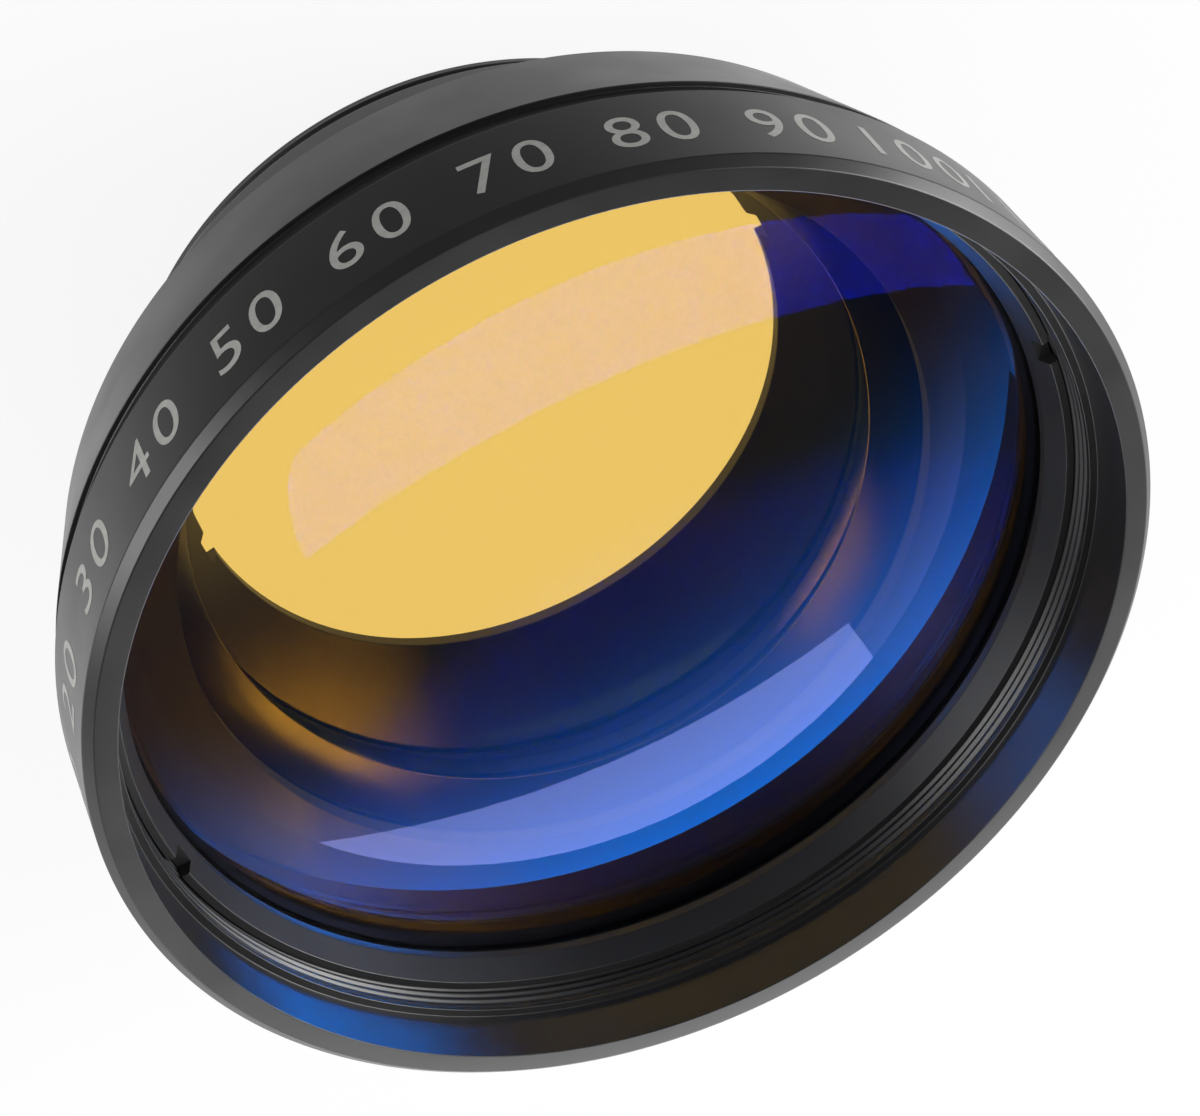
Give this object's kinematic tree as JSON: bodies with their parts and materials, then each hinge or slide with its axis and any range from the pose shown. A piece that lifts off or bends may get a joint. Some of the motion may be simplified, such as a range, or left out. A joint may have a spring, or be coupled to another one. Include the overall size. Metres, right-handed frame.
{
  "type": "f-theta scan lens",
  "caption": "Round f-theta scan lens: a stepped black barrel with a male mounting thread at the rear and coated glass elements held by threaded rings.",
  "frame": {"origin": "centre of the rear end of the mounting thread, on the surface the part stands on", "axes": "+Z along the optical axis from the rear thread to the front rim"},
  "size_m": [0.118, 0.118, 0.056],
  "materials": {
    "black_anodised": "satin black anodised, turned",
    "black_ring": "matt black anodised",
    "seal": "matt black",
    "coated_glass": "polished, with a coating that reflects blue and passes gold"
  },
  "bodies": {
    "root": {"main_barrel": "black_anodised", "rear_retaining_ring": "black_ring", "rear_seal": "seal", "rear_lens": "coated_glass", "middle_lens": "coated_glass", "spacer_ring": "black_ring", "front_lens": "coated_glass", "front_seal": "seal", "front_retaining_ring": "black_ring"}
  },
  "joints": []
}
